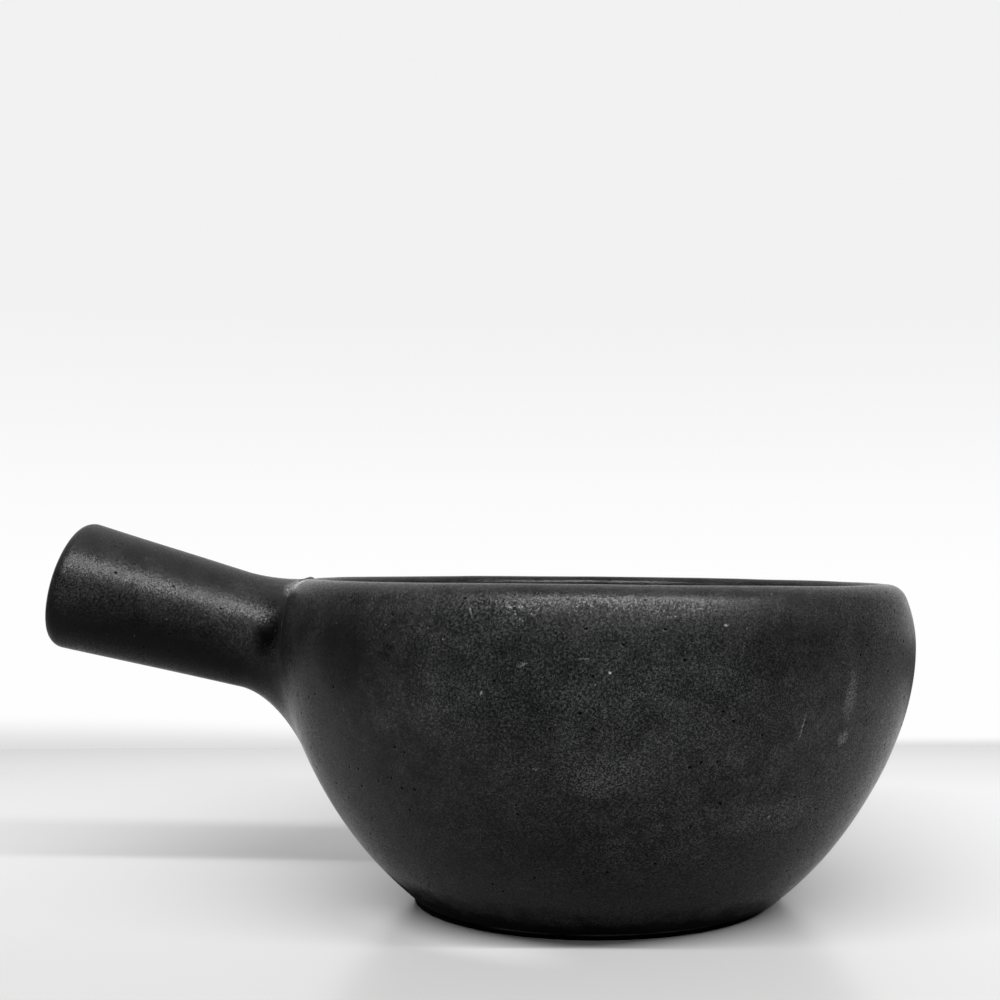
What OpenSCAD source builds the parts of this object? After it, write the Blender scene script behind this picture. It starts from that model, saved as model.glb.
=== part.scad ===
// Single-handled clay pot: a thrown bowl on a low foot ring, with a thrown tube for a handle.
// The pieces are luted: slip is the glue, and a coil of clay is smoothed into the corner round the handle.
// The origin is on the bowl's axis in the plane of the foot, +Z is up and the handle points to -X.

/* [Bowl] */
// Diameter at the widest ring
belly_d = 200; // [180:1:240]
// Height of the widest ring above the table
belly_z = 82; // [74:0.5:92]
// Height of the rim above the widest ring
rim_rise = 20; // [14:0.5:26]
// Radius of the wall's curve from the widest ring up to the lip
shoulder_r = 46; // [40:1:60]
// Radius of the wall's curve just below the widest ring
belly_curve_r = 77; // [68:1:86]
// Radius of the flatter curve from there down to the foot
lower_curve_r = 126; // [112:1:140]
// Angle below the horizontal at which the flatter curve takes over
lower_from = 19.5; // [15:0.5:25]
// Radius of the outer rounding of the lip
lip_round = 6.3; // [4:0.1:8]
// Thickness of the wall
wall_t = 8; // [6:0.25:10]
// Thickness of the floor
floor_t = 9; // [6:0.25:12]
// Radius of the curve inside where the wall runs into the floor
floor_cove_r = 40; // [25:1:55]

/* [Foot] */
// Height of the bowl's underside above the table
foot_h = 2.5; // [1.5:0.1:6]
// Width of the ring
foot_w = 12; // [8:0.5:20]
// How far the ring stands in from the edge of the underside
foot_inset = 3; // [1.5:0.1:6]
// Bevel on the lower edges of the ring
foot_bevel = 0.6; // [0.3:0.1:0.8]

/* [Handle] */
// Length along its axis, from the widest ring to the end
handle_len = 71.5; // [55:0.5:95]
// Rise of the handle above the horizontal
handle_tilt = 15; // [8:0.5:22]
// Diameter at the bowl
handle_root_d = 35; // [30:0.5:40]
// Diameter at the end
handle_end_d = 40.5; // [36:0.5:46]
// Depth of the handle's top below the rim, where it meets the widest ring
handle_drop = 3; // [2.5:0.1:6]
// Thickness of the tube at the bowl
handle_wall_t = 5.5; // [4:0.25:7]
// Outer rounding of the open end
end_round = 4; // [2:0.1:5]
// Inner rounding of the open end
mouth_round = 2; // [1:0.1:3]

/* [Joints] */
// Thickness of the slip between two luted pieces
slip_t = 0.6; // [0.3:0.05:1]
// Reach of the coil out along the top of the handle
collar_top = 18; // [10:0.5:28]
// Reach of the coil out along each side of the handle
collar_flank = 5; // [4:0.5:12]
// Reach of the coil out along the underside of the handle
collar_under = 16; // [8:0.5:26]
// Reach of the coil round the bowl on each side of the handle
collar_side = 5; // [4:0.5:12]
// Reach of the coil down the bowl below the handle
collar_below = 15.5; // [8:0.5:24]
// Thickness of the coil where it is smoothed out at its edges
collar_edge_t = 0.3; // [0.2:0.05:0.6]

/* [Hidden] */
clay = "#2e2c2b";
slip = "#3b3836";
$fn = 144;
arc_steps = 10;

// Gap between the coil and the faces that it is smoothed over
joint_gap = 0.08;
// Sections round the coil, and points along its three sides
collar_turns = 72;
collar_wall_steps = 7;
collar_tube_steps = 5;
collar_cove_steps = 12;
// Share of the way to the corner at which the coil's cove leaves its tangents
cove_pull = 0.6;
// How quickly the coil narrows from the handle's top, and from its underside, to its sides
top_ease = 6;
under_ease = 2;
// Halvings of the search for the corner between handle and bowl
search_steps = 26;
// Greatest share of the wall that the lip's outer rounding takes
lip_share = 0.8;

// Centres and angles of the arcs of the bowl's outer profile, as [radius, height]
belly_r = belly_d / 2;
bowl_h = belly_z + rim_rise;
lip_r = min(lip_round, lip_share * wall_t);
shoulder_c = [belly_r - shoulder_r, belly_z];
belly_c = [belly_r - belly_curve_r, belly_z];
lower_c = belly_c - (lower_curve_r - belly_curve_r) * [cos(lower_from), -sin(lower_from)];
lip_angle = asin((rim_rise - lip_r) / (shoulder_r - lip_r));
lip_c = shoulder_c + (shoulder_r - lip_r) * [cos(lip_angle), sin(lip_angle)];
base_angle = asin((lower_c[1] - foot_h) / lower_curve_r);
base_r = lower_c[0] + lower_curve_r * cos(base_angle);

// Inner profile: the same arcs one wall further in, with an inner lip and a cove to the floor
lip_reach = lip_c[0] - shoulder_c[0];
inner_shoulder_r = shoulder_r - wall_t;
inner_lip_r = (lip_reach ^ 2 + rim_rise ^ 2 - inner_shoulder_r ^ 2) / (2 * (inner_shoulder_r + rim_rise));
inner_lip_c = [lip_c[0], bowl_h - inner_lip_r];
inner_lip_angle = atan2(inner_lip_c[1] - belly_z, lip_reach);
floor_z = foot_h + floor_t;
cove_drop = lower_c[1] - floor_z - floor_cove_r;
cove_angle = asin(cove_drop / (lower_curve_r - wall_t - floor_cove_r));
cove_c = lower_c + (lower_curve_r - wall_t - floor_cove_r) * [cos(cove_angle), -sin(cove_angle)];

// Lengths of the outer arcs, counted up and down the wall from the widest ring
shoulder_len = arc_len(shoulder_r, lip_angle);
rim_len = shoulder_len + arc_len(lip_r, 90 - lip_angle);
belly_len = arc_len(belly_curve_r, lower_from);

foot_r = base_r - foot_inset;

// The handle's start on the widest ring, and its own directions: along, up and towards the front
root_r = handle_root_d / 2;
end_r = handle_end_d / 2;
bore_r = root_r - handle_wall_t;
handle_inset = 2 * wall_t;
handle_start = [-belly_r, 0, bowl_h - handle_drop - root_r * cos(handle_tilt)];
handle_along = [-cos(handle_tilt), 0, sin(handle_tilt)];
handle_up = [sin(handle_tilt), 0, cos(handle_tilt)];
handle_front = [0, -1, 0];

// Length of an arc of radius r over an angle in degrees, and the angle of an arc of that length
function arc_len(r, angle) = r * angle * PI / 180;
function arc_angle(r, length) = length / r * 180 / PI;

// Points along an arc without its first point, so that arcs join with no point twice
function arc(c, r, from, to) =
    [for (i = [1 : arc_steps])
        let (angle = from + (to - from) * i / arc_steps)
        c + r * [cos(angle), sin(angle)]];

// Outer profile from the underside's edge to the crest of the rim, grown outwards
function outer_profile(grow) = concat(
    [lower_c + (lower_curve_r + grow) * [cos(base_angle), -sin(base_angle)]],
    arc(lower_c, lower_curve_r + grow, -base_angle, -lower_from),
    arc(belly_c, belly_curve_r + grow, -lower_from, 0),
    arc(shoulder_c, shoulder_r + grow, 0, lip_angle),
    arc(lip_c, lip_r + grow, lip_angle, 90));

// Inner profile from the crest of the rim to the edge of the flat floor
function inner_profile() = concat(
    arc(inner_lip_c, inner_lip_r, 90, 180 + inner_lip_angle),
    arc(shoulder_c, inner_shoulder_r, inner_lip_angle, 0),
    arc(belly_c, belly_curve_r - wall_t, 0, -lower_from),
    arc(lower_c, lower_curve_r - wall_t, -lower_from, -cove_angle),
    arc(cove_c, floor_cove_r, -cove_angle, -90));

// Where a point [radius, height] lies: how far up the wall from the widest ring, and how far out from it
function wall_place(q) =
    let (
        shoulder = q - shoulder_c,
        belly = q - belly_c,
        lower = q - lower_c,
        lip = q - lip_c,
        shoulder_angle = atan2(shoulder[1], shoulder[0]),
        belly_angle = -atan2(belly[1], belly[0]),
        lower_angle = -atan2(lower[1], lower[0]),
        lip_turn = atan2(lip[1], lip[0]))
    q[1] >= belly_z && shoulder_angle <= lip_angle
        ? [arc_len(shoulder_r, shoulder_angle), norm(shoulder) - shoulder_r]
    : q[1] >= belly_z
        ? [shoulder_len + arc_len(lip_r, lip_turn - lip_angle), (lip[0] < 0 ? lip[1] : norm(lip)) - lip_r]
    : belly_angle <= lower_from
        ? [-arc_len(belly_curve_r, belly_angle), norm(belly) - belly_curve_r]
    : [-belly_len - arc_len(lower_curve_r, lower_angle - lower_from), norm(lower) - lower_curve_r];

// Centre, radius and angle of the outer arc at a distance up the wall
function wall_arc(up) =
    up > shoulder_len ? [lip_c, lip_r, lip_angle + arc_angle(lip_r, up - shoulder_len)]
    : up >= 0 ? [shoulder_c, shoulder_r, arc_angle(shoulder_r, up)]
    : up >= -belly_len ? [belly_c, belly_curve_r, arc_angle(belly_curve_r, up)]
    : [lower_c, lower_curve_r, arc_angle(lower_curve_r, up + belly_len) - lower_from];

// Point over the bowl's outer face: round from the handle's side and up the wall, grown outwards
function on_wall(place, grow) =
    let (
        a = wall_arc(place[1]),
        p = a[0] + (a[1] + grow) * [cos(a[2]), sin(a[2])],
        turn = arc_angle(belly_r, place[0]))
    [-p[0] * cos(turn), -p[0] * sin(turn), p[1]];

// Point over the handle's outer face: a distance along it and a turn from its top towards the front
function on_handle(along, turn, grow) =
    let (r = root_r + (end_r - root_r) * along / (handle_len - end_round) + grow)
    handle_start + along * handle_along + r * (cos(turn) * handle_up + sin(turn) * handle_front);

function radius_height(p) = [norm([p[0], p[1]]), p[2]];

// Distance along the handle at which a line down its face meets the bowl
function corner_along(turn, inside, outside, steps) =
    let (middle = (inside + outside) / 2)
    steps == 0 ? middle
    : wall_place(radius_height(on_handle(middle, turn, joint_gap)))[1] > joint_gap
        ? corner_along(turn, inside, middle, steps - 1)
    : corner_along(turn, middle, outside, steps - 1);

// Reach of the coil at a turn round the handle, eased from its top through its sides to its underside
function collar_reach(turn, top, side, under) =
    side + (top - side) * max(cos(turn), 0) ^ top_ease + (under - side) * max(-cos(turn), 0) ^ under_ease;

function between(a, b, share) = a + (b - a) * share;

function bezier(p, t) =
    (1 - t) ^ 3 * p[0] + 3 * (1 - t) ^ 2 * t * p[1] + 3 * (1 - t) * t ^ 2 * p[2] + t ^ 3 * p[3];

// Place on the bowl of the corner between handle and bowl, as [round, up]
function corner_place(turn) =
    let (
        p = on_handle(corner_along(turn, -handle_inset, handle_inset, search_steps), turn, joint_gap),
        round_by = arc_len(belly_r, atan2(-p[1], -p[0])))
    [round_by, wall_place(radius_height(p))[0]];

// Room on the lip between the top of the corner and the crest of the rim, which the coil fills
collar_lip = rim_len - corner_place(0)[1];

// One section of the coil: up the bowl to the corner, out along the handle, and back over the cove
function collar_section(turn) =
    let (
        along = corner_along(turn, -handle_inset, handle_inset, search_steps),
        far = along + collar_reach(turn, collar_top, collar_flank, collar_under),
        corner = corner_place(turn),
        edge = corner + collar_reach(turn, collar_lip, collar_side, collar_below) * [sin(turn), cos(turn)],
        lift = joint_gap + collar_edge_t,
        edge_p = on_wall(edge, lift),
        edge_way = on_wall(between(edge, corner, 1 / collar_cove_steps), lift) - edge_p,
        edge_pull = cove_pull * norm(on_wall(corner, lift) - edge_p),
        cove = [
            on_handle(far, turn, lift),
            on_handle(between(far, along, cove_pull), turn, lift),
            edge_p + edge_pull * edge_way / norm(edge_way),
            edge_p])
    concat(
        [for (i = [0 : collar_wall_steps]) on_wall(between(edge, corner, i / collar_wall_steps), joint_gap)],
        [for (i = [1 : collar_tube_steps])
            on_handle(between(along, far, i / collar_tube_steps), turn, joint_gap)],
        [for (i = [0 : collar_cove_steps]) bezier(cove, i / collar_cove_steps)]);

// Closed ring of sections, joined by triangles
module ring_of(sections) {
    count = len(sections);
    size = len(sections[0]);
    function at(i, j) = (i % count) * size + j % size;
    polyhedron(
        points = [for (section = sections) each section],
        faces = [for (i = [0 : count - 1], j = [0 : size - 1])
            each [[at(i, j), at(i, j + 1), at(i + 1, j)], [at(i + 1, j), at(i, j + 1), at(i + 1, j + 1)]]]);
}

// The bowl's outer shape, filled to its axis and grown outwards
module filled_bowl(grow) {
    rotate_extrude()
        polygon(concat([[0, foot_h]], outer_profile(grow), [[0, bowl_h + grow]]));
}

// Puts what is drawn along +Z onto the handle's axis
module on_handle_axis() {
    translate(handle_start)
        rotate([0, handle_tilt - 90, 0])
            children();
}

// The tube, run on into the bowl before it is cut to fit the wall
module handle_tube() {
    flare = (end_r - root_r) / (handle_len - end_round);
    on_handle_axis()
        rotate_extrude()
            polygon(concat(
                [[bore_r, -handle_inset], [root_r - flare * handle_inset, -handle_inset]],
                [[end_r, handle_len - end_round]],
                arc([end_r - end_round, handle_len - end_round], end_round, 0, 90),
                [[bore_r + mouth_round, handle_len]],
                arc([bore_r + mouth_round, handle_len - mouth_round], mouth_round, 90, 180)));
}

module bowl() {
    color(clay)
        rotate_extrude()
            polygon(concat([[0, foot_h]], outer_profile(0), inner_profile(), [[0, floor_z]]));
}

module foot_slip() {
    color(slip)
        translate([0, 0, foot_h - slip_t])
            difference() {
                cylinder(h = slip_t, r = foot_r);
                translate([0, 0, -slip_t])
                    cylinder(h = 3 * slip_t, r = foot_r - foot_w);
            }
}

module foot_ring() {
    top = foot_h - slip_t;
    inner_r = foot_r - foot_w;
    color(clay)
        rotate_extrude()
            polygon([
                [inner_r + foot_bevel, 0],
                [foot_r - foot_bevel, 0],
                [foot_r, foot_bevel],
                [foot_r, top],
                [inner_r, top],
                [inner_r, foot_bevel]]);
}

module handle_slip() {
    color(slip)
        intersection() {
            handle_tube();
            difference() {
                filled_bowl(slip_t);
                filled_bowl(0);
            }
        }
}

module handle() {
    color(clay)
        difference() {
            handle_tube();
            filled_bowl(slip_t);
        }
}

module handle_collar() {
    color(clay)
        ring_of([for (i = [0 : collar_turns - 1]) collar_section(360 * i / collar_turns)]);
}

bowl();
foot_slip();
foot_ring();
handle_slip();
handle();
handle_collar();
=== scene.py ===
import math

import bmesh
import bpy
import numpy as np
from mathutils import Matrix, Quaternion, Vector


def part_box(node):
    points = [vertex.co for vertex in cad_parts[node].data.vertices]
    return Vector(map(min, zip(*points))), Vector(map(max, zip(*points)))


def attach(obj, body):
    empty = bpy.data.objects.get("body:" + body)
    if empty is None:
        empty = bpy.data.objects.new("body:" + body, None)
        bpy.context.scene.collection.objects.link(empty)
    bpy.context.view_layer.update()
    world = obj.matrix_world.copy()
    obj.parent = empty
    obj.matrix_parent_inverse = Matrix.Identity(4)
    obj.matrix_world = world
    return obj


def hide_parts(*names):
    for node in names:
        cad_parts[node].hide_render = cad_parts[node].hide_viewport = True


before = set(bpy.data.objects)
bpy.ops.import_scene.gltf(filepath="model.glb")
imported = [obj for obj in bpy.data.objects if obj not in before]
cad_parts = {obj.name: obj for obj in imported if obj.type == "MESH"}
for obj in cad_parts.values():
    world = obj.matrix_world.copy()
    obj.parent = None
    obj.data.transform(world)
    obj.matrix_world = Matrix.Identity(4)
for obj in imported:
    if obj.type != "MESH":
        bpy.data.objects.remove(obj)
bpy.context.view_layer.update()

# The bowl: thrown on the wheel from dark clay, with a full belly, a shoulder that draws in and a thick rounded lip.
# It is trimmed underneath, rubbed smooth while leather hard and fired black without a glaze. The skin is a satin
# black with fine grit, pinholes where grit or air came out, smoky patches from the fire and scuffs from use.
# Painted shade darkens the pinholes, the low wall, the bottom, the crease and the underside of the handle, and
# painted highlights lie on the foot's edge, on the ridge at the lip and low on the right.

bowl_low, bowl_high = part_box("bowl")
belly_r = bowl_high.y
bowl_h = bowl_high.z
underside_z = bowl_low.z
belly_z = 0.082
shoulder_r = 0.046
belly_curve_r = 0.077
lower_curve_r = 0.126
lower_from = math.radians(19.5)
lip_r = 0.0063
wall_t = 0.008
floor_t = 0.009
floor_cove_r = 0.040
base_round = 0.0009
bowl_turns = 400
merge_within = 1e-6
outer_spacing = 0.0014
lip_spacing = 0.0008
inner_spacing = 0.0017
flat_spacing = 0.004
throwing_depth = 0.00014
throwing_pitch = 0.0075
throwing_below = 0.012
trimming_depth = 0.00012
trimming_pitch = 0.0035

shoulder_c = np.array([belly_r - shoulder_r, belly_z])
belly_c = np.array([belly_r - belly_curve_r, belly_z])
lower_c = belly_c - (lower_curve_r - belly_curve_r) * np.array([math.cos(lower_from), -math.sin(lower_from)])
lip_angle = math.asin((bowl_h - belly_z - lip_r) / (shoulder_r - lip_r))
lip_c = shoulder_c + (shoulder_r - lip_r) * np.array([math.cos(lip_angle), math.sin(lip_angle)])
edge_drop = lower_c[1] - underside_z - base_round
edge_angle = math.asin(edge_drop / (lower_curve_r - base_round))
edge_c = lower_c + (lower_curve_r - base_round) * np.array([math.cos(edge_angle), -math.sin(edge_angle)])

lip_reach = lip_c[0] - shoulder_c[0]
rim_rise = bowl_h - belly_z
inner_shoulder_r = shoulder_r - wall_t
inner_lip_r = (lip_reach ** 2 + rim_rise ** 2 - inner_shoulder_r ** 2) / (2 * (inner_shoulder_r + rim_rise))
inner_lip_c = np.array([lip_c[0], bowl_h - inner_lip_r])
inner_lip_angle = math.atan2(inner_lip_c[1] - belly_z, lip_reach)
floor_z = underside_z + floor_t
cove_angle = math.asin((lower_c[1] - floor_z - floor_cove_r) / (lower_curve_r - wall_t - floor_cove_r))
cove_c = lower_c + (lower_curve_r - wall_t - floor_cove_r) * np.array([math.cos(cove_angle), -math.sin(cove_angle)])


def arc(centre, radius, start, end, spacing):
    """Points along an arc after its first point, about a spacing apart."""
    steps = max(2, math.ceil(abs(end - start) * radius / spacing))
    turn = start + (end - start) * np.arange(1, steps + 1) / steps
    return centre + radius * np.column_stack([np.cos(turn), np.sin(turn)])


def flat(start, end, spacing):
    """Points along a straight line after its first point, about a spacing apart."""
    start, end = np.array(start), np.array(end)
    steps = max(1, math.ceil(np.linalg.norm(end - start) / spacing))
    return start + (end - start) * np.arange(1, steps + 1)[:, None] / steps


quarter = math.pi / 2
underside = flat([0, underside_z], [edge_c[0], underside_z], flat_spacing)
outer_wall = np.vstack([
    arc(edge_c, base_round, -quarter, -edge_angle, base_round / 2),
    arc(lower_c, lower_curve_r, -edge_angle, -lower_from, outer_spacing),
    arc(belly_c, belly_curve_r, -lower_from, 0, outer_spacing),
    arc(shoulder_c, shoulder_r, 0, lip_angle, outer_spacing),
    arc(lip_c, lip_r, lip_angle, quarter, lip_spacing)])
inner_wall = np.vstack([
    arc(inner_lip_c, inner_lip_r, quarter, math.pi + inner_lip_angle, lip_spacing),
    arc(shoulder_c, inner_shoulder_r, inner_lip_angle, 0, inner_spacing),
    arc(belly_c, belly_curve_r - wall_t, 0, -lower_from, inner_spacing),
    arc(lower_c, lower_curve_r - wall_t, -lower_from, -cove_angle, inner_spacing),
    arc(cove_c, floor_cove_r, -cove_angle, -quarter, inner_spacing),
    flat([cove_c[0], floor_z], [0, floor_z], flat_spacing)])


def ripple(points, depth, pitch, fade):
    """Ring marks left by fingers or a tool: each point's way in and its count of rings, easing in over a length."""
    ahead = np.gradient(points, axis=0)
    ahead /= np.linalg.norm(ahead, axis=1)[:, None]
    along = np.concatenate([[0], np.cumsum(np.linalg.norm(np.diff(points, axis=0), axis=1))])
    ease = np.clip(along / fade, 0, 1) * np.clip((along[-1] - along) / fade, 0, 1)
    way = np.column_stack([-ahead[:, 1], ahead[:, 0]]) * (depth * ease)[:, None]
    return way, along / pitch


def profile_mesh(name, parts):
    """A chain of points [radius, height] to be turned, from (points, ring way, ring count, share of pinholes)."""
    points = np.vstack([part[0] for part in parts])
    chain = bpy.data.meshes.new(name)
    chain.from_pydata([(r, 0.0, z) for r, z in points], [(i, i + 1) for i in range(len(points) - 1)], [])
    way = np.vstack([part[1] for part in parts])
    lift = chain.attributes.new("ring_way", "FLOAT_VECTOR", "POINT")
    lift.data.foreach_set("vector", np.column_stack([way[:, 0], 0 * way[:, 0], way[:, 1]]).ravel())
    chain.attributes.new("ring_count", "FLOAT", "POINT").data.foreach_set(
        "value", np.concatenate([part[2] for part in parts]))
    chain.attributes.new("pinhole_share", "FLOAT", "POINT").data.foreach_set(
        "value", np.concatenate([np.full(len(part[0]), float(part[3])) for part in parts]))
    return chain


def plain(points):
    return np.zeros((len(points), 2)), np.zeros(len(points))


axis_point = np.array([[0.0, underside_z]])
bowl_profile = profile_mesh("bowl_profile", [
    (axis_point, *plain(axis_point), 0),
    (underside, *ripple(underside, trimming_depth, trimming_pitch, throwing_below), 0),
    (outer_wall, *plain(outer_wall), 1),
    (inner_wall, *ripple(inner_wall, throwing_depth, throwing_pitch, throwing_below), 0.5)])


class Wire:
    """A socket in a node tree. Sums and products of wires add Math nodes, and node() adds any other node."""

    def __init__(self, tree, socket=None):
        self.tree = tree
        self.socket = socket

    def node(self, kind, settings=None, sockets=None, out=0):
        made = self.tree.nodes.new(kind)
        for name, value in (settings or {}).items():
            setattr(made, name, value)
        for name, value in (sockets or {}).items():
            if isinstance(value, Wire):
                self.tree.links.new(value.socket, made.inputs[name])
            else:
                made.inputs[name].default_value = value
        return Wire(self.tree, made.outputs[out])

    def out(self, name):
        return Wire(self.tree, self.socket.node.outputs[name])

    def math(self, operation, first, second=0.0):
        return self.node("ShaderNodeMath", {"operation": operation}, {0: first, 1: second})

    def vector(self, operation, sockets, out=0):
        return self.node("ShaderNodeVectorMath", {"operation": operation}, sockets, out)

    def rise(self, low, high):
        """0 up to low, 1 from high, and smooth between them."""
        return self.node("ShaderNodeMapRange", {"interpolation_type": "SMOOTHSTEP"},
                         {"Value": self, "From Min": low, "From Max": high})

    def __add__(self, other):
        return self.math("ADD", self, other)

    def __sub__(self, other):
        return self.math("SUBTRACT", self, other)

    def __rsub__(self, other):
        return self.math("SUBTRACT", other, self)

    def __mul__(self, other):
        return self.math("MULTIPLY", self, other)

    def __truediv__(self, other):
        return self.math("DIVIDE", self, other)

    def __rtruediv__(self, other):
        return self.math("DIVIDE", other, self)

    __radd__ = __add__
    __rmul__ = __mul__


black_clay = bpy.data.materials.new("black_clay")
black_clay.use_nodes = True
# How far the clay's grain spans, and its pale specks
mottle_span, blotch_span, grain_span = 0.034, 0.007, 0.00030
noise_low, noise_high = 0.25, 0.75
speck_spacing, speck_size, speck_share, speck_tone = 0.0026, 0.0004, 0.4, 0.05
# The clay's tone: its level, the shares that are even, mottled and blotched, and how dark the painted shade in the
# pinholes is
clay_tone, even_share, mottle_share, blotch_share = 0.0132, 0.42, 0.40, 0.46
pit_shade = 0.95
# Heights between which the grain weakens, the shoulder darkens and the low wall, darkened by painted shade towards
# the table, reaches its full tone
grain_from, grain_to, grain_loss = 0.020, 0.060, 0.46
shoulder_from, shoulder_to, shoulder_loss = 0.064, 0.090, 0.42
low_shade_to, low_shade_share = 0.046, 0.12
# Painted shade at the bottom, where the wall meets the table: its slope across the pot, how ragged it is, and the
# heights where the black and the matt clay end. The black reaches higher towards the left. The matt clay also ends
# towards the right.
band_slope, band_ragged = 0.035, 0.003
shade_black_from, shade_black_to = 0.0044, 0.0082
matt_from, matt_to, matt_lift = 0.004, 0.013, 0.60
matt_side_from, matt_side_to = 0.042, 0.056
# A painted highlight along the foot's upper edge in front: heights, tone, and square of the way aside over which it
# ends
foot_glint_low, foot_glint_high, foot_glint_soft, foot_glint_tone = 0.0012, 0.0018, 0.0005, 0.20
foot_glint_from, foot_glint_to = 0.0007, 0.0013
# Roughness of the burnished skin, and what is added by blotches, pinholes, slanting view, matt clay and the handle
skin_rough, blotch_rough, pit_rough = 0.165, 0.08, 0.6
slant_rough, matt_rough, handle_rough = 2.2, 0.75, 0.06
handle_from, handle_to = -0.118, -0.100
clay_ior, clay_gloss = 1.45, 0.07
# Relief too fine for the mesh: how far each grain tilts, and the depth of blotches and specks
grain_tilt = 0.21
bump_strength, bump_depth, blotch_bump, speck_bump = 0.6, 0.00022, 0.24, 0.2
# How even marks are: smoke is broken by blotches, scuffs and the painted highlights on the coil's ridge by the
# grain
mark_core = 0.35
smoke_even, smoke_blotch = 0.55, 0.7
scuff_even, scuff_grain = 0.2, 2.2
highlight_even, highlight_grain = 0.25, 1.5


def grain_of(place, span, detail=2.0, roughness=0.5, out=0):
    """Noise whose features are about a span across."""
    return place.node("ShaderNodeTexNoise", {}, {
        "Vector": place, "Scale": 1 / span, "Detail": detail, "Roughness": roughness}, out)


def specks_of(place, spacing, size, share):
    """Round specks of about a size, in a share of the cells of a random packing."""
    cells = place.node("ShaderNodeTexVoronoi", {"feature": "F1"}, {"Vector": place, "Scale": 1 / spacing})
    chance = cells.node("ShaderNodeSeparateColor", {}, {0: cells.out("Color")})
    return (1 - cells.rise(0.35 * size / spacing, 0.65 * size / spacing)) * chance.rise(1 - share, 1 - 0.8 * share)


# Marks on the bowl: degrees round from the front, height, length, width, lean from upright in degrees, strength
scuffs = {
    "pale smear": (42.6, 0.0700, 0.021, 0.0062, 4, 0.015),
    "foot of the smear": (42.6, 0.0592, 0.0060, 0.0055, 20, 0.026),
    "long scratch": (32.3, 0.0634, 0.0125, 0.0006, 9, 0.035),
    "nick under the lip": (-13.8, 0.0958, 0.0055, 0.0009, 90, 0.045),
    "nick on the belly": (-3.4, 0.0829, 0.0034, 0.0007, 90, 0.035),
    "scratch under the lip": (-21.0, 0.0955, 0.0070, 0.0006, -22, 0.018),
    "rubbed scratch": (20.7, 0.0853, 0.0090, 0.0006, 17, 0.010),
    "chip mark": (18.2, 0.0911, 0.0022, 0.0009, 75, 0.032),
    "pale grit": (0.4, 0.0794, 0.0010, 0.0009, 0, 0.120),
    "grit beside a pinhole": (-18.7, 0.0739, 0.0017, 0.0008, 30, 0.060),
    "rubbed spot": (-12.4, 0.0812, 0.0040, 0.0016, 75, 0.022),
    "dotted scratch": (-0.4, 0.0679, 0.0080, 0.0007, 4, 0.009),
    "low grit": (30.3, 0.0386, 0.0010, 0.0009, 0, 0.080),
    "low rub": (-11.1, 0.0543, 0.0030, 0.0010, 80, 0.030),
    # Broad paler patches: one on the belly, and low on the right a painted reflection of the pale table
    "rubbed belly": (-1, 0.052, 0.024, 0.026, 0, 0.0085),
    "rubbed low on the right": (30, 0.038, 0.036, 0.044, 0, 0.0080),
}
# Smoky patches from the fire: degrees round from the front, height, length, width, lean, share of the tone taken
smoke = {
    "beside the handle": (-46, 0.083, 0.042, 0.036, 0, 0.58),
    "under the shoulder": (29, 0.085, 0.026, 0.044, 0, 0.35),
    "middle": (-14, 0.068, 0.034, 0.032, 20, 0.20),
    "right of the middle": (14, 0.069, 0.016, 0.024, 60, 0.14),
    "right": (26, 0.066, 0.040, 0.045, 0, 0.22),
    "back": (150, 0.070, 0.050, 0.060, 30, 0.35),
    "far side": (-125, 0.055, 0.040, 0.050, 10, 0.30),
}
# Painted shade in the crease and under the handle, and darker clay round its end and along it: middle, half sizes,
# lean in degrees, share of the tone taken
handle_shade_and_tone = {
    "in the crease": ((-0.1012, -0.0155, 0.0862), (0.0070, 0.010, 0.0130), 17, 0.94),
    "under the handle": ((-0.1350, -0.0140, 0.0775), (0.060, 0.022, 0.018), 15, 0.82),
    "round the handle's end": ((-0.1690, -0.0120, 0.1000), (0.008, 0.020, 0.020), 15, 0.40),
    "along the handle": ((-0.1400, 0.0, 0.0980), (0.060, 0.040, 0.040), 15, 0.18),
}
# Painted highlights on the rough ridge where the coil meets the lip: middle, half sizes, degrees round from the
# front, added tone
ridge_highlights = {
    "smear on the lip": ((-0.0921, -0.0215, 0.0998), (0.0042, 0.0130, 0.0048), 14, 0.12),
    "smear on the coil": ((-0.0952, -0.0095, 0.0985), (0.0042, 0.0090, 0.0040), 0, 0.05),
}


def mark(place, middle, lean, turn, half):
    """A soft-edged mark round a point."""
    local = place.node("ShaderNodeMapping", {"vector_type": "TEXTURE"}, {
        "Vector": place,
        "Location": middle,
        "Rotation": (0.0, math.radians(lean), math.radians(turn)),
        "Scale": half})
    return 1 - local.vector("LENGTH", {0: local}, "Value").rise(mark_core, 1.0)


def mark_on_bowl(place, turn, height, length, width, lean):
    """A soft-edged mark on the bowl's outer face."""
    reach = np.interp(height, outer_wall[:, 1], outer_wall[:, 0])
    middle = (reach * math.sin(math.radians(turn)), -reach * math.cos(math.radians(turn)), height)
    return mark(place, middle, lean, turn, (width / 2, wall_t / 2, length / 2))


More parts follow.
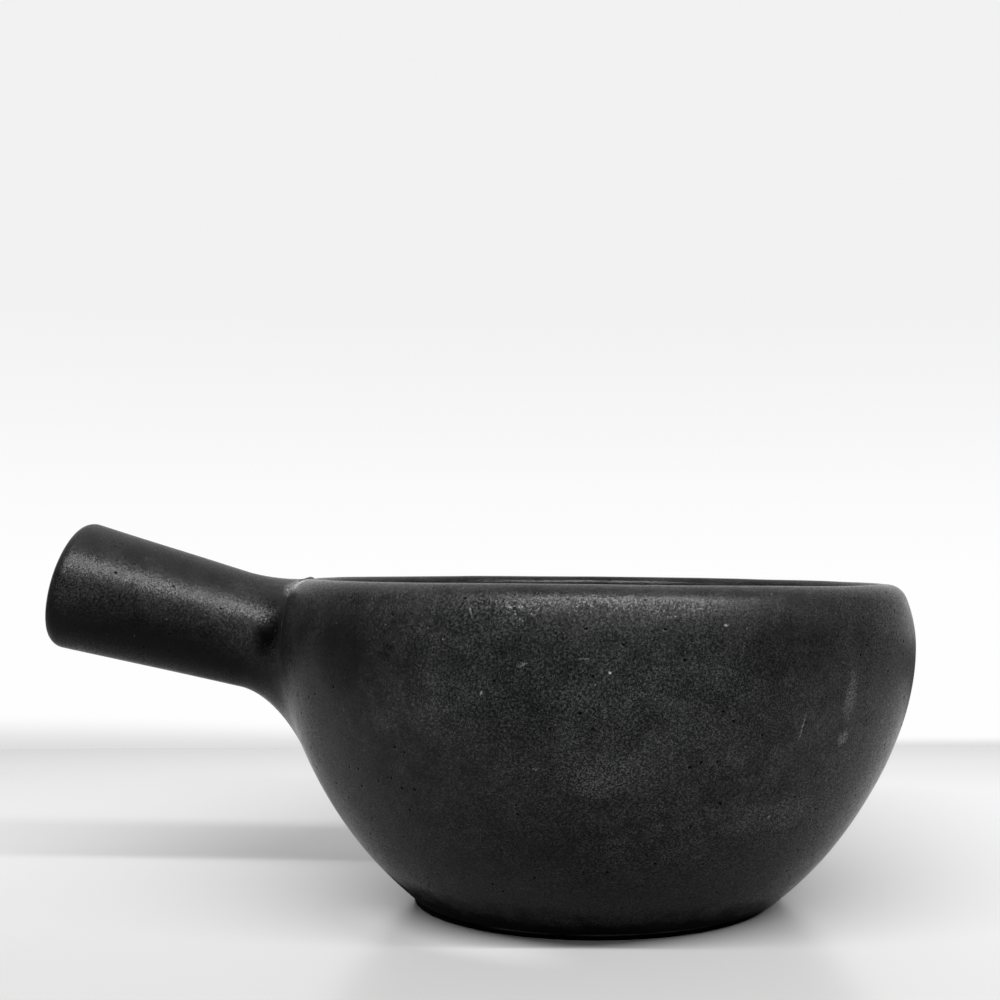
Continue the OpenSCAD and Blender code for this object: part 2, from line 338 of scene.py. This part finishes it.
place = Wire(black_clay.node_tree).node("ShaderNodeTexCoord", out="Object")
mottle = grain_of(place, mottle_span, detail=4.0, roughness=0.6).rise(noise_low, noise_high)
blotch = grain_of(place, blotch_span, detail=3.0, roughness=0.55).rise(noise_low, noise_high)
pale = specks_of(place, speck_spacing, speck_size, speck_share)
pit = place.node("ShaderNodeAttribute", {"attribute_name": "pit"}, out="Fac")
grains = place.node("ShaderNodeTexVoronoi", {"feature": "F1"}, {"Vector": place, "Scale": 1 / grain_span}, "Color")
grain = place.node("ShaderNodeSeparateColor", {}, {0: grains})
across = place.node("ShaderNodeSeparateXYZ", {}, {0: place})
up = across.out("Z")
edge_on = place.node("ShaderNodeLayerWeight", {}, {"Blend": 0.5}, "Facing")
slant = edge_on * (1 - edge_on)

contrast = 1 - grain_loss * up.rise(grain_from, grain_to)
band = up + band_slope * across + band_ragged * (blotch - 0.5)
matt = (1 - band.rise(matt_from, matt_to)) * (1 - across.rise(matt_side_from, matt_side_to))
on_handle = 1 - across.rise(handle_from, handle_to)
tone = clay_tone * (even_share + mottle_share * mottle + blotch_share * blotch)
# The grain's square times 3 is 1 on average
tone = tone * (1 + contrast * (3 * grain * grain - 1))
tone = tone * (1 - shoulder_loss * up.rise(shoulder_from, shoulder_to))
# Painted shade: the low wall darkens towards the table
tone = tone * (low_shade_share + (1 - low_shade_share) * up.rise(0.0, low_shade_to) + matt_lift * matt)
# Painted shade: the clay turns black just above the table, reaching higher towards the left
tone = tone * band.rise(shade_black_from, shade_black_to)
# Painted highlight: a pale line along the foot's upper edge, in front
rubbed = up.rise(foot_glint_low, foot_glint_low + foot_glint_soft) * (1 - up.rise(foot_glint_high, foot_glint_high + foot_glint_soft))
tone = tone + foot_glint_tone * rubbed * mottle * (1 - (across * across).rise(foot_glint_from, foot_glint_to))
# Painted shade in the crease and under the handle; darker clay round its end and along it
for middle, half, lean, share in handle_shade_and_tone.values():
    tone = tone * (1 - share * mark(place, middle, lean, 0, half))
for turn, height, length, width, lean, share in smoke.values():
    patch = mark_on_bowl(place, turn, height, length, width, lean) * (smoke_even + smoke_blotch * blotch)
    tone = tone * (1 - share * patch)
for turn, height, length, width, lean, strength in scuffs.values():
    patch = mark_on_bowl(place, turn, height, length, width, lean) * (scuff_even + scuff_grain * grain * grain)
    tone = tone + strength * patch
# Painted highlights on the ridge where the coil meets the lip
for middle, half, turn, strength in ridge_highlights.values():
    patch = mark(place, middle, 0, turn, half) * (highlight_even + highlight_grain * grain * grain)
    tone = tone + strength * patch
# Painted shade darkens the pinholes; the pale specks are the clay's own grit
tone = (tone + speck_tone * pale * blotch) * (1 - pit_shade * pit)

tilt = grains.vector("SUBTRACT", {0: grains, 1: (0.5, 0.5, 0.5)})
tilt = tilt.vector("SCALE", {0: tilt, "Scale": grain_tilt})
facet = tilt.vector("ADD", {0: tilt, 1: place.node("ShaderNodeNewGeometry", out="Normal")})

clay_skin = black_clay.node_tree.nodes["Principled BSDF"]
clay_skin.inputs["IOR"].default_value = clay_ior
clay_skin.inputs["Specular IOR Level"].default_value = clay_gloss
rough = skin_rough + blotch_rough * blotch + pit_rough * pit + slant_rough * slant * slant
for name, wire in {
        "Base Color": tone,
        "Roughness": rough + matt_rough * matt + handle_rough * on_handle,
        "Normal": place.node("ShaderNodeBump", {}, {
            "Strength": bump_strength,
            "Distance": bump_depth,
            "Height": blotch_bump * blotch + speck_bump * pale,
            "Normal": facet.vector("NORMALIZE", {0: facet})})}.items():
    black_clay.node_tree.links.new(wire.socket, clay_skin.inputs[name])


def clay_tree(name, sizes):
    """A tree that forms a clay piece from a mesh, with a named input for each size. Gives its wires by name."""
    tree = bpy.data.node_groups.new(name, "GeometryNodeTree")
    tree.interface.new_socket("Mesh", in_out="INPUT", socket_type="NodeSocketGeometry")
    for label, kind in sizes.items():
        tree.interface.new_socket(label, in_out="INPUT", socket_type=kind)
    tree.interface.new_socket("Mesh", in_out="OUTPUT", socket_type="NodeSocketGeometry")
    start = tree.nodes.new("NodeGroupInput")
    return tree, {label: Wire(tree, start.outputs[label]) for label in ["Mesh", *sizes]}


hand_sizes = {
    "Unevenness": "NodeSocketFloat",
    "Span": "NodeSocketFloat",
    "Pinholes": "NodeSocketFloat",
    "Pinhole depth": "NodeSocketFloat",
    "Seed": "NodeSocketInt",
}
hand_values = {"Unevenness": 0.0007, "Span": 0.05, "Pinholes": 0.012, "Pinhole depth": 0.0007, "Seed": 7}
pinhole_least, pinhole_most, pinhole_floor = 0.25, 0.55, 0.7
shrinkage = 0.00095
firm_from, firm_to = 0.003, 0.020
rim_dip = 0.051
rim_dip_from = -0.095
rim_dip_low = 0.062


def worked_by_hand(tree, wires, mesh):
    """Adds what hand and fire leave on a piece: an uneven, slightly shrunk face, a rim that dips, and pinholes."""
    where = mesh.node("GeometryNodeInputPosition")
    across = mesh.node("ShaderNodeSeparateXYZ", {}, {0: where})
    height = across.out("Z")
    sway = grain_of(where, 1.0, detail=2.0, roughness=0.45, out="Color")
    mesh.tree.links.new((1 / wires["Span"]).socket, sway.socket.node.inputs["Scale"])
    sway = sway.vector("SUBTRACT", {0: sway, 1: (0.5, 0.5, 0.5)})
    sway = sway.vector("SCALE", {0: sway, "Scale": wires["Unevenness"]})
    shrunk = where.vector("SCALE", {0: where, "Scale": -1 * shrinkage})
    sway = sway.vector("ADD", {0: sway, 1: shrunk})
    sway = sway.vector("SCALE", {0: sway, "Scale": height.rise(firm_from, firm_to)})
    past = mesh.math("MAXIMUM", across - rim_dip_from, 0.0)
    dip = -1 * rim_dip * past * past * height.rise(rim_dip_low, bowl_h)
    drop = mesh.node("ShaderNodeCombineXYZ", {}, {"Z": dip})
    mesh = mesh.node("GeometryNodeSetPosition", {}, {
        "Geometry": mesh, "Offset": sway.vector("ADD", {0: sway, 1: drop})})

    share = mesh.node("GeometryNodeInputNamedAttribute", {"data_type": "FLOAT"}, {"Name": "pinhole_share"})
    chance = mesh.node("FunctionNodeRandomValue", {"data_type": "FLOAT"}, {"Seed": wires["Seed"]}, 1)
    picked = mesh.math("LESS_THAN", chance, share * wires["Pinholes"])
    size = mesh.node("FunctionNodeRandomValue", {"data_type": "FLOAT"}, {
        2: pinhole_least, 3: pinhole_most, "Seed": wires["Seed"] + 1}, 1)
    rim = mesh.node("GeometryNodeExtrudeMesh", {"mode": "FACES"}, {
        "Mesh": mesh, "Selection": picked, "Offset Scale": 0.0, "Individual": True})
    mesh = rim.node("GeometryNodeScaleElements", {"domain": "FACE"}, {
        "Geometry": rim, "Selection": rim.out("Top"), "Scale": size})
    pit = mesh.node("GeometryNodeExtrudeMesh", {"mode": "FACES"}, {
        "Mesh": mesh, "Selection": rim.out("Top"), "Offset Scale": 0.0, "Individual": True})
    mesh = pit.node("GeometryNodeScaleElements", {"domain": "FACE"}, {
        "Geometry": pit, "Selection": pit.out("Top"), "Scale": pinhole_floor})
    inward = mesh.vector("SCALE", {
        0: mesh.node("GeometryNodeInputNormal"), "Scale": -1 * wires["Pinhole depth"]})
    mesh = mesh.node("GeometryNodeSetPosition", {}, {
        "Geometry": mesh, "Selection": pit.out("Top"), "Offset": inward})
    mesh = mesh.node("GeometryNodeStoreNamedAttribute", {"data_type": "FLOAT", "domain": "FACE"}, {
        "Geometry": mesh, "Name": "pit", "Value": pit.out("Top") + pit.out("Side")})

    mesh = mesh.node("GeometryNodeSetShadeSmooth", {}, {"Geometry": mesh})
    mesh = mesh.node("GeometryNodeRealizeInstances", {}, {"Geometry": mesh})
    mesh = mesh.node("GeometryNodeSetMaterial", {}, {"Geometry": mesh, "Material": black_clay})
    tree.links.new(mesh.socket, tree.nodes.new("NodeGroupOutput").inputs["Mesh"])


thrown, wires = clay_tree("thrown", {"Turns": "NodeSocketInt", **hand_sizes})
chain = wires["Mesh"]
rows = chain.node("GeometryNodeAttributeDomainSize", {"component": "MESH"}, {"Geometry": chain}, "Point Count")
sheet = chain.node("GeometryNodeMeshGrid", {}, {
    "Size X": 1.0, "Size Y": 1.0, "Vertices X": wires["Turns"] + 1, "Vertices Y": rows})
index = chain.node("GeometryNodeInputIndex")
row = chain.math("MODULO", index, rows)
step = chain.math("FLOOR", (index + 0.5) / rows)
angle = step * math.tau / wires["Turns"]


def from_chain(kind, value):
    return chain.node("GeometryNodeSampleIndex", {"data_type": kind, "domain": "POINT"}, {
        "Geometry": chain, "Value": value, "Index": row})


def stored(kind, name):
    return chain.node("GeometryNodeInputNamedAttribute", {"data_type": kind}, {"Name": name})


ring = chain.math("SINE", from_chain("FLOAT", stored("FLOAT", "ring_count")) * math.tau - angle)
way = from_chain("FLOAT_VECTOR", stored("FLOAT_VECTOR", "ring_way"))
spot = chain.vector("ADD", {
    0: from_chain("FLOAT_VECTOR", chain.node("GeometryNodeInputPosition")),
    1: chain.vector("SCALE", {0: way, "Scale": ring})})
spot = chain.node("ShaderNodeVectorRotate", {"rotation_type": "Z_AXIS"}, {"Vector": spot, "Angle": angle})
sheet = chain.node("GeometryNodeStoreNamedAttribute", {"data_type": "FLOAT", "domain": "POINT"}, {
    "Geometry": sheet, "Name": "pinhole_share", "Value": from_chain("FLOAT", stored("FLOAT", "pinhole_share"))})
sheet = chain.node("GeometryNodeSetPosition", {}, {"Geometry": sheet, "Position": spot})
sheet = chain.node("GeometryNodeMergeByDistance", {}, {"Geometry": sheet, "Distance": merge_within})
worked_by_hand(thrown, wires, sheet)


def formed(name, mesh, tree, values):
    """The piece that a tree forms from a mesh, as a plain mesh object that rides on the pot."""
    piece = bpy.data.objects.new(name, mesh)
    bpy.context.scene.collection.objects.link(piece)
    work = piece.modifiers.new("form", "NODES")
    work.node_group = tree
    for socket in tree.interface.items_tree:
        if socket.in_out == "INPUT" and socket.name in values:
            work[socket.identifier] = values[socket.name]
    bpy.context.view_layer.update()
    made = bpy.data.meshes.new_from_object(piece.evaluated_get(bpy.context.evaluated_depsgraph_get()))
    piece.modifiers.clear()
    piece.data = made
    outward = bmesh.new()
    outward.from_mesh(made)
    bmesh.ops.recalc_face_normals(outward, faces=outward.faces)
    outward.to_mesh(made)
    outward.free()
    made.name = name
    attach(piece, "root")
    return piece


bowl = formed("thrown_bowl", bowl_profile, thrown, {"Turns": bowl_turns, **hand_values})
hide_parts("bowl")

# The foot: a low ring of the same clay, set in under the curve of the bowl and luted to it with a film of slip.
# Under the handle it is smeared outwards a little, and up against the bowl. The slip is a dull line above it.

foot_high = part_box("foot_ring")[1]
foot_r = foot_high.y
foot_w = 0.012
foot_bevel = 0.0006
foot_spacing = 0.0015
foot_smear, foot_smear_rise, foot_smear_ease = 0.0030, 0.0005, 3
foot_turns = 300

joint_slip = bpy.data.materials.new("joint_slip")
joint_slip.use_nodes = True
slip_span, slip_depth = 0.0008, 0.0002
slip_tone, slip_tone_grit = 0.010, 0.016
slip_rough, slip_rough_grit = 0.75, 0.15
slip_place = Wire(joint_slip.node_tree).node("ShaderNodeTexCoord", out="Object")
slip_grit = grain_of(slip_place, slip_span, detail=3.0, roughness=0.6)
slip_skin = joint_slip.node_tree.nodes["Principled BSDF"]
for name, wire in {
        "Base Color": slip_tone + slip_tone_grit * slip_grit,
        "Roughness": slip_rough + slip_rough_grit * slip_grit,
        "Normal": slip_place.node("ShaderNodeBump", {}, {
            "Strength": bump_strength, "Distance": slip_depth, "Height": slip_grit})}.items():
    joint_slip.node_tree.links.new(wire.socket, slip_skin.inputs[name])
for name in ["foot_slip", "handle_slip"]:
    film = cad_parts[name]
    film.data.materials.clear()
    film.data.materials.append(joint_slip)

foot_corners = [
    (foot_r - foot_bevel, 0), (foot_r, foot_bevel), (foot_r, foot_high.z), (foot_r - foot_w, foot_high.z),
    (foot_r - foot_w, foot_bevel), (foot_r - foot_w + foot_bevel, 0), (foot_r - foot_bevel, 0)]
foot_points = np.vstack([[foot_corners[0]]] + [
    flat(a, b, foot_spacing) for a, b in zip(foot_corners, foot_corners[1:])])
foot_profile = profile_mesh("foot_profile", [(foot_points, *plain(foot_points), 0)])
foot = formed("foot_ring_clay", foot_profile, thrown, {"Turns": foot_turns, **hand_values})
for vertex in foot.data.vertices:
    reach = math.hypot(vertex.co.x, vertex.co.y)
    smeared = max(-vertex.co.x / reach, 0) ** foot_smear_ease
    if reach > foot_r - foot_bevel and vertex.co.z > foot_high.z - foot_bevel:
        vertex.co.z += foot_smear_rise * smeared
    if reach > foot_r - foot_w / 2:
        vertex.co.xy *= 1 + foot_smear * smeared / reach
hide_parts("foot_ring")

# The handle: a thrown tube of the same clay, a little wider at its open end and cut to a saddle at the bowl.
# It is luted on so that it slopes upwards. Its end is rounded with a wet finger, outside and inside.

handle_len = 0.0715
handle_tilt = math.radians(15)
handle_root_r = 0.0175
handle_end_r = 0.02025
handle_drop = 0.003
handle_wall_t = 0.0055
end_round = 0.004
mouth_round = 0.002
slip_t = 0.0006
handle_turns = 120
handle_spacing = 0.0013
bore_spacing = 0.003
halvings = 40

bore_r = handle_root_r - handle_wall_t
handle_start = np.array([-belly_r, 0, bowl_h - handle_drop - handle_root_r * math.cos(handle_tilt)])
handle_along = np.array([-math.cos(handle_tilt), 0, math.sin(handle_tilt)])
handle_up = np.array([math.sin(handle_tilt), 0, math.cos(handle_tilt)])
handle_front = np.array([0, -1.0, 0])


def on_tube(along, turn, radius):
    """Points at distances along the handle's axis, turns from its top towards the front, and radii."""
    along, turn, radius = np.broadcast_arrays(along, turn, radius)
    spoke = np.cos(turn)[..., None] * handle_up + np.sin(turn)[..., None] * handle_front
    return handle_start + along[..., None] * handle_along + radius[..., None] * spoke


def tube_r(along):
    return handle_root_r + (handle_end_r - handle_root_r) * along / (handle_len - end_round)


def wall_place(points):
    """How far points lie up the bowl's outer wall from its widest ring, and how far out from the wall."""
    radius, height = np.hypot(points[..., 0], points[..., 1]), points[..., 2]

    def from_centre(centre):
        return np.arctan2(height - centre[1], radius - centre[0]), np.hypot(radius - centre[0], height - centre[1])

    shoulder, shoulder_d = from_centre(shoulder_c)
    belly, belly_d = from_centre(belly_c)
    lower, lower_d = from_centre(lower_c)
    lip, lip_d = from_centre(lip_c)
    above = height >= belly_z
    cases = [above & (shoulder <= lip_angle), above, -belly <= lower_from]
    up = np.select(cases, [
        shoulder_r * shoulder,
        shoulder_r * lip_angle + lip_r * (lip - lip_angle),
        belly_curve_r * belly], -belly_curve_r * lower_from + lower_curve_r * (lower + lower_from))
    out = np.select(
        cases, [shoulder_d - shoulder_r, lip_d - lip_r, belly_d - belly_curve_r], lower_d - lower_curve_r)
    return up, out


def meets_bowl(turn, radius_at, gap):
    """Distances along the handle at which lines down a tube come within a gap of the bowl's wall."""
    inside, outside = np.full(len(turn), -2 * wall_t), np.full(len(turn), 2 * wall_t)
    for _ in range(halvings):
        middle = (inside + outside) / 2
        clear = wall_place(on_tube(middle, turn, radius_at(middle)))[1] > gap
        inside, outside = np.where(clear, inside, middle), np.where(clear, middle, outside)
    return outside


def ring_mesh(name, sections, share):
    """A closed mesh from closed sections round a ring, with the share of pinholes on its points."""
    turns, size = sections.shape[:2]
    here = np.arange(turns * size).reshape(turns, size)
    beyond, ahead = np.roll(here, -1, axis=0), np.roll(here, -1, axis=1)
    faces = np.stack([here, ahead, np.roll(beyond, -1, axis=1), beyond], axis=-1).reshape(-1, 4)
    mesh = bpy.data.meshes.new(name)
    mesh.from_pydata(sections.reshape(-1, 3).tolist(), [], faces.tolist())
    mesh.attributes.new("pinhole_share", "FLOAT", "POINT").data.foreach_set("value", share.ravel().astype(float))
    return mesh


turn = np.arange(handle_turns) * math.tau / handle_turns
root = meets_bowl(turn, tube_r, slip_t)[:, None]
bore_root = meets_bowl(turn, lambda along: np.full(len(along), bore_r), slip_t)[:, None]
body_end = handle_len - end_round
steps = math.ceil(body_end / handle_spacing)
body = root + (body_end - root) * np.linspace(0, 1, steps + 1)
end_profile = np.vstack([
    arc(np.array([handle_end_r - end_round, body_end]), end_round, 0, quarter, lip_spacing),
    flat([handle_end_r - end_round, handle_len], [bore_r + mouth_round, handle_len], lip_spacing),
    arc(np.array([bore_r + mouth_round, handle_len - mouth_round]), mouth_round, quarter, math.pi, lip_spacing)])
bore_top = handle_len - mouth_round
bore_steps = math.ceil(bore_top / bore_spacing)
bore = bore_top + (bore_root - bore_top) * np.arange(1, bore_steps + 1) / bore_steps
ends = np.broadcast_to(end_profile, (handle_turns, *end_profile.shape))
handle_sections = np.concatenate([
    on_tube(body, turn[:, None], tube_r(body)),
    on_tube(ends[..., 1], turn[:, None], ends[..., 0]),
    on_tube(bore, turn[:, None], bore_r)], axis=1)
pitted = np.zeros(handle_sections.shape[:2])
pitted[:, :steps] = 1

luted, wires = clay_tree("luted", hand_sizes)
worked_by_hand(luted, wires, wires["Mesh"])
handle = formed("thrown_handle", ring_mesh("handle_tube", handle_sections, pitted), luted, hand_values)
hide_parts("handle")

# The coil: a roll of soft clay pressed into the corner round the handle and smoothed out over bowl and tube.
# It is worked to a tight crease at the sides and a wide cove underneath, and a rough ridge is left on top.

coil_top = 0.018
coil_flank = 0.0135
coil_under = 0.017
coil_side = 0.0036
coil_below = 0.028
coil_sink = 0.00012
coil_edge = -0.00005
coil_lift = 0.00003
top_ease, under_ease, crease_ease = 6, 1.6, 4
tube_pull, wall_pull, crease_pull = 0.60, 0.66, 0.15
crease_turn = math.radians(68)
coil_turns = 180
coil_wall_steps = 6
coil_tube_steps = 4
coil_cove_steps = 26
ridge_height = 0.0006
ridge_from, ridge_to = math.radians(-35), math.radians(38)
ridge_fade = 0.3
ridge_width = 0.10
ridge_share = 0.90
seam_to = math.radians(110)
seam_share = 0.4


def on_wall(place, grow):
    """Points over the bowl's outer face: round from the handle's side and up the wall, grown outwards."""
    round_by, up = place[..., 0], place[..., 1]
    shoulder_len, belly_len = shoulder_r * lip_angle, belly_curve_r * lower_from
    cases = [up > shoulder_len, up >= 0, up >= -belly_len]
    angle = np.select(cases, [
        lip_angle + (up - shoulder_len) / lip_r,
        up / shoulder_r,
        up / belly_curve_r], (up + belly_len) / lower_curve_r - lower_from)
    radius = np.select(cases, [lip_r, shoulder_r, belly_curve_r], lower_curve_r) + grow
    centre = [np.select(cases, [lip_c[i], shoulder_c[i], belly_c[i]], lower_c[i]) for i in (0, 1)]
    out, height = centre[0] + radius * np.cos(angle), centre[1] + radius * np.sin(angle)
    turn = round_by / belly_r
    return np.stack([-out * np.cos(turn), -out * np.sin(turn), height], axis=-1)


def coil_reach(turn, top, side, under):
    return (side + (top - side) * np.maximum(np.cos(turn), 0) ** top_ease
            + (under - side) * np.maximum(-np.cos(turn), 0) ** under_ease)


def between(start, end, share):
    return start + (end - start) * share


turn = np.arange(coil_turns) * math.tau / coil_turns
signed = (turn + math.pi) % math.tau - math.pi
along = meets_bowl(turn, tube_r, 0.0)
corner_points = on_tube(along, turn, tube_r(along))
corner = np.column_stack([
    belly_r * np.arctan2(-corner_points[:, 1], -corner_points[:, 0]), wall_place(corner_points)[0]])
rim_len = shoulder_r * lip_angle + lip_r * (quarter - lip_angle)
far = along + coil_reach(turn, coil_top, coil_flank, coil_under)
edge = corner + (coil_reach(turn, rim_len - corner[0, 1], coil_side, coil_below)[:, None]
                 * np.column_stack([np.sin(turn), np.cos(turn)]))
edge_point = on_wall(edge, coil_edge)
edge_way = on_wall(between(edge, corner, 1 / coil_cove_steps), coil_edge) - edge_point
edge_way /= np.linalg.norm(edge_way, axis=1)[:, None]
flank = np.maximum(np.cos(np.abs(signed) - crease_turn), 0) ** crease_ease
edge_len = np.linalg.norm(on_wall(corner, coil_edge) - edge_point, axis=1)
edge_pull = (between(wall_pull, crease_pull, flank) * edge_len)[:, None]
pulled = between(far, along, tube_pull)
cove = [
    on_tube(far, turn, tube_r(far) + coil_edge),
    on_tube(pulled, turn, tube_r(pulled) + coil_lift),
    edge_point + edge_pull * edge_way,
    edge_point]
share = np.linspace(0, 1, coil_cove_steps + 1)[None, :, None]
cove_points = sum(
    weight * point[:, None] for weight, point in zip(
        [(1 - share) ** 3, 3 * (1 - share) ** 2 * share, 3 * (1 - share) * share ** 2, share ** 3], cove))


def fading(start, end):
    """1 between two turns round the coil, fading to 0 at each."""
    return np.clip((signed - start) / ridge_fade, 0, 1) * np.clip((end - signed) / ridge_fade, 0, 1)


on_ridge = np.maximum(fading(ridge_from, ridge_to), seam_share * fading(0, seam_to))
# Thumbs leave the ridge uneven
thumbed = 0.7 + 0.3 * np.sin(9 * turn) * np.sin(23 * turn + 1.0) + 0.25 * np.sin(41 * turn)
bead = np.exp(-((share[..., 0] - ridge_share) / ridge_width) ** 2) * (ridge_height * on_ridge * thumbed)[:, None]
outward = on_wall(edge, 0.001) - on_wall(edge, 0.0)
outward /= np.linalg.norm(outward, axis=1)[:, None]
cove_points = cove_points + bead[..., None] * outward[:, None]

wall_share = np.linspace(0, 1, coil_wall_steps + 1)[None, :, None]
tube_share = np.linspace(0, 1, coil_tube_steps + 1)[None, 1:]
tube_line = between(along[:, None], far[:, None], tube_share)
coil_sections = np.concatenate([
    on_wall(between(edge[:, None], corner[:, None], wall_share), -coil_sink),
    on_tube(tube_line, turn[:, None], tube_r(tube_line) - coil_sink),
    cove_points], axis=1)
coil_mesh = ring_mesh("coil", coil_sections, np.zeros(coil_sections.shape[:2]))
coil = formed("handle_coil", coil_mesh, luted, hand_values)
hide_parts("handle_collar")

# The setting: a pale satin shelf that ends behind the pot and a little in front of it, before a bright backdrop.
# Wide soft light comes from the front and above, and a weaker light from the room all round.

table_back = 0.362
table_front = -0.17
table_half = 1.6
table_t = 0.03
table_round = 0.004
# The table's tone, with painted light and shade: at its front, and the painted lightening towards the back, the
# painted shade at the far edge and the painted lightening to the right
table_front_tone = 0.180
table_gain, table_gain_from, table_gain_to = 1.13, -0.16, 0.22
table_loss, table_loss_from = 0.08, 0.28
table_side_gain, table_side_to = 0.07, 0.20
# Painted light beside the foot, lifting the shadow there: middle, half sizes, turn in degrees, gain
spot_middle, spot_half, spot_turn, spot_gain = (-0.044, -0.046, 0.0), (0.054, 0.020, 0.020), -45, 0.26
table_rough, table_gloss = 0.24, 0.35

table_edge = arc(np.array([table_back - table_round, -table_round]), table_round, quarter, 0, table_round / 4)
table_line = np.vstack([
    [[table_front, -table_t], [table_front, -table_round], [table_front + table_round, 0.0]],
    [[table_back - table_round, 0.0]], table_edge, [[table_back, -table_t]]])
table_points = [(x, y, z) for y, z in table_line for x in (-table_half, table_half)]
table_faces = [(2 * i, 2 * i + 1, 2 * i + 3, 2 * i + 2) for i in range(len(table_line) - 1)]
table_mesh = bpy.data.meshes.new("table")
table_mesh.from_pydata(table_points, [], table_faces)
table = bpy.data.objects.new("table", table_mesh)
bpy.context.scene.collection.objects.link(table)
table_paint = bpy.data.materials.new("table_paint")
table_paint.use_nodes = True
table_skin = table_paint.node_tree.nodes["Principled BSDF"]
table_place = Wire(table_paint.node_tree).node("ShaderNodeTexCoord", out="Object")
table_xyz = table_place.node("ShaderNodeSeparateXYZ", {}, {0: table_place})
table_depth = table_xyz.out("Y")
# Painted light and shade on the table: lighter towards the back and to the right, darker at the far edge, lighter
# beside the foot
table_tone = table_front_tone * (1 + table_gain * table_depth.rise(table_gain_from, table_gain_to))
table_tone = table_tone * (1 - table_loss * table_depth.rise(table_loss_from, table_back))
table_tone = table_tone * (1 + table_side_gain * table_xyz.out("X").rise(0.0, table_side_to))
table_tone = table_tone * (1 + spot_gain * mark(table_place, spot_middle, 0, spot_turn, spot_half))
table_paint.node_tree.links.new(table_tone.socket, table_skin.inputs["Base Color"])
table_skin.inputs["Roughness"].default_value = table_rough
table_skin.inputs["Specular IOR Level"].default_value = table_gloss
table_mesh.materials.append(table_paint)

# The backdrop: its tone, its loss upwards, and the shade along its foot by slope below level, higher at the left
backdrop_tone = 0.99
upper_loss, upper_from, upper_to = 0.105, -0.03, 0.20
shade_loss, shade_from, shade_slant, shade_to = 0.26, 0.106, 0.019, 0.1335
shade_side_from, shade_side_to = -0.42, 0.1
least_ahead = 0.05
# Light from the room: dim all round, brighter from the back and above, and less from below
room_dim, back_gain, top_gain, floor_share = 0.06, 0.80, 0.95, 0.15
back_from, back_to = 0.1, 0.7
top_from, top_to = 0.3, 0.9
level_from, level_to = -0.08, 0.02
# The height that the lamps face
pot_middle = 0.07

room = bpy.data.worlds.new("room")
bpy.context.scene.world = room
room.use_nodes = True
room_tree = room.node_tree
way = Wire(room_tree).node("ShaderNodeTexCoord", out="Generated")
way_xyz = way.node("ShaderNodeSeparateXYZ", {}, {0: way})
seen = backdrop_tone - upper_loss * way_xyz.out("Z").rise(upper_from, upper_to)
down = -1 * way_xyz.out("Z") / way.math("MAXIMUM", way_xyz.out("Y"), least_ahead)
shade_start = shade_from + shade_slant * way_xyz.out("X").rise(shade_side_from, shade_side_to)
seen = seen * (1 - shade_loss * down.rise(shade_start, shade_to))
back_light = way_xyz.out("Y").rise(back_from, back_to)
top_light = way_xyz.out("Z").rise(top_from, top_to)
above_level = way_xyz.out("Z").rise(level_from, level_to)
lit = room_dim + back_gain * back_light + top_gain * top_light
lit = lit * (floor_share + (1 - floor_share) * above_level)
ray = way.node("ShaderNodeLightPath", out="Is Camera Ray")
glow = room_tree.nodes["Background"]
room_tree.links.new((seen * ray + lit * (1 - ray)).socket, glow.inputs["Color"])


def soft_light(name, place, width, height, power, roll=0.0):
    """A soft panel that faces the pot, rolled by some degrees."""
    lamp = bpy.data.lights.new(name, "AREA")
    lamp.shape = "RECTANGLE"
    lamp.size, lamp.size_y, lamp.energy = width, height, power
    panel = bpy.data.objects.new(name, lamp)
    bpy.context.scene.collection.objects.link(panel)
    panel.location = place
    facing_pot = (Vector((0.0, 0.0, pot_middle)) - panel.location).to_track_quat("-Z", "Y")
    panel.rotation_euler = (facing_pot @ Quaternion((0.0, 0.0, 1.0), math.radians(roll))).to_euler()
    return panel


strip = soft_light("strip", (0.03, -0.315, 0.395), width=0.90, height=0.02, power=12, roll=-7)
strip.visible_glossy = False
strip_glint = soft_light("strip_glint", (0.03, -0.25, 0.45), width=0.90, height=0.02, power=3.0, roll=-7)
front_glow = soft_light("front_glow", (0.13, -1.15, 1.31), width=2.3, height=0.17, power=128)
pot_only = bpy.data.collections.new("pot_only")
for piece in (bowl, foot, handle, coil):
    pot_only.objects.link(piece)
for panel in (strip_glint, front_glow):
    panel.visible_diffuse = False
    panel.light_linking.receiver_collection = pot_only
soft_light("front_fill", (0.14, -1.45, 0.95), width=2.4, height=0.60, power=17)

camera_data = bpy.data.cameras.new("camera")
camera = bpy.data.objects.new("camera", camera_data)
bpy.context.scene.collection.objects.link(camera)
camera.location = (-0.01033, -0.45396, 0.10773)
camera.rotation_euler = (math.pi / 2, 0.0, math.radians(-1.376))
camera_data.sensor_width = 36.0
camera_data.lens = 50.74
camera_data.shift_x = -0.0998
camera_data.shift_y = 0.0601
camera_data.clip_start = 0.01
bpy.context.scene.camera = camera
bpy.context.scene.view_settings.view_transform = "Standard"
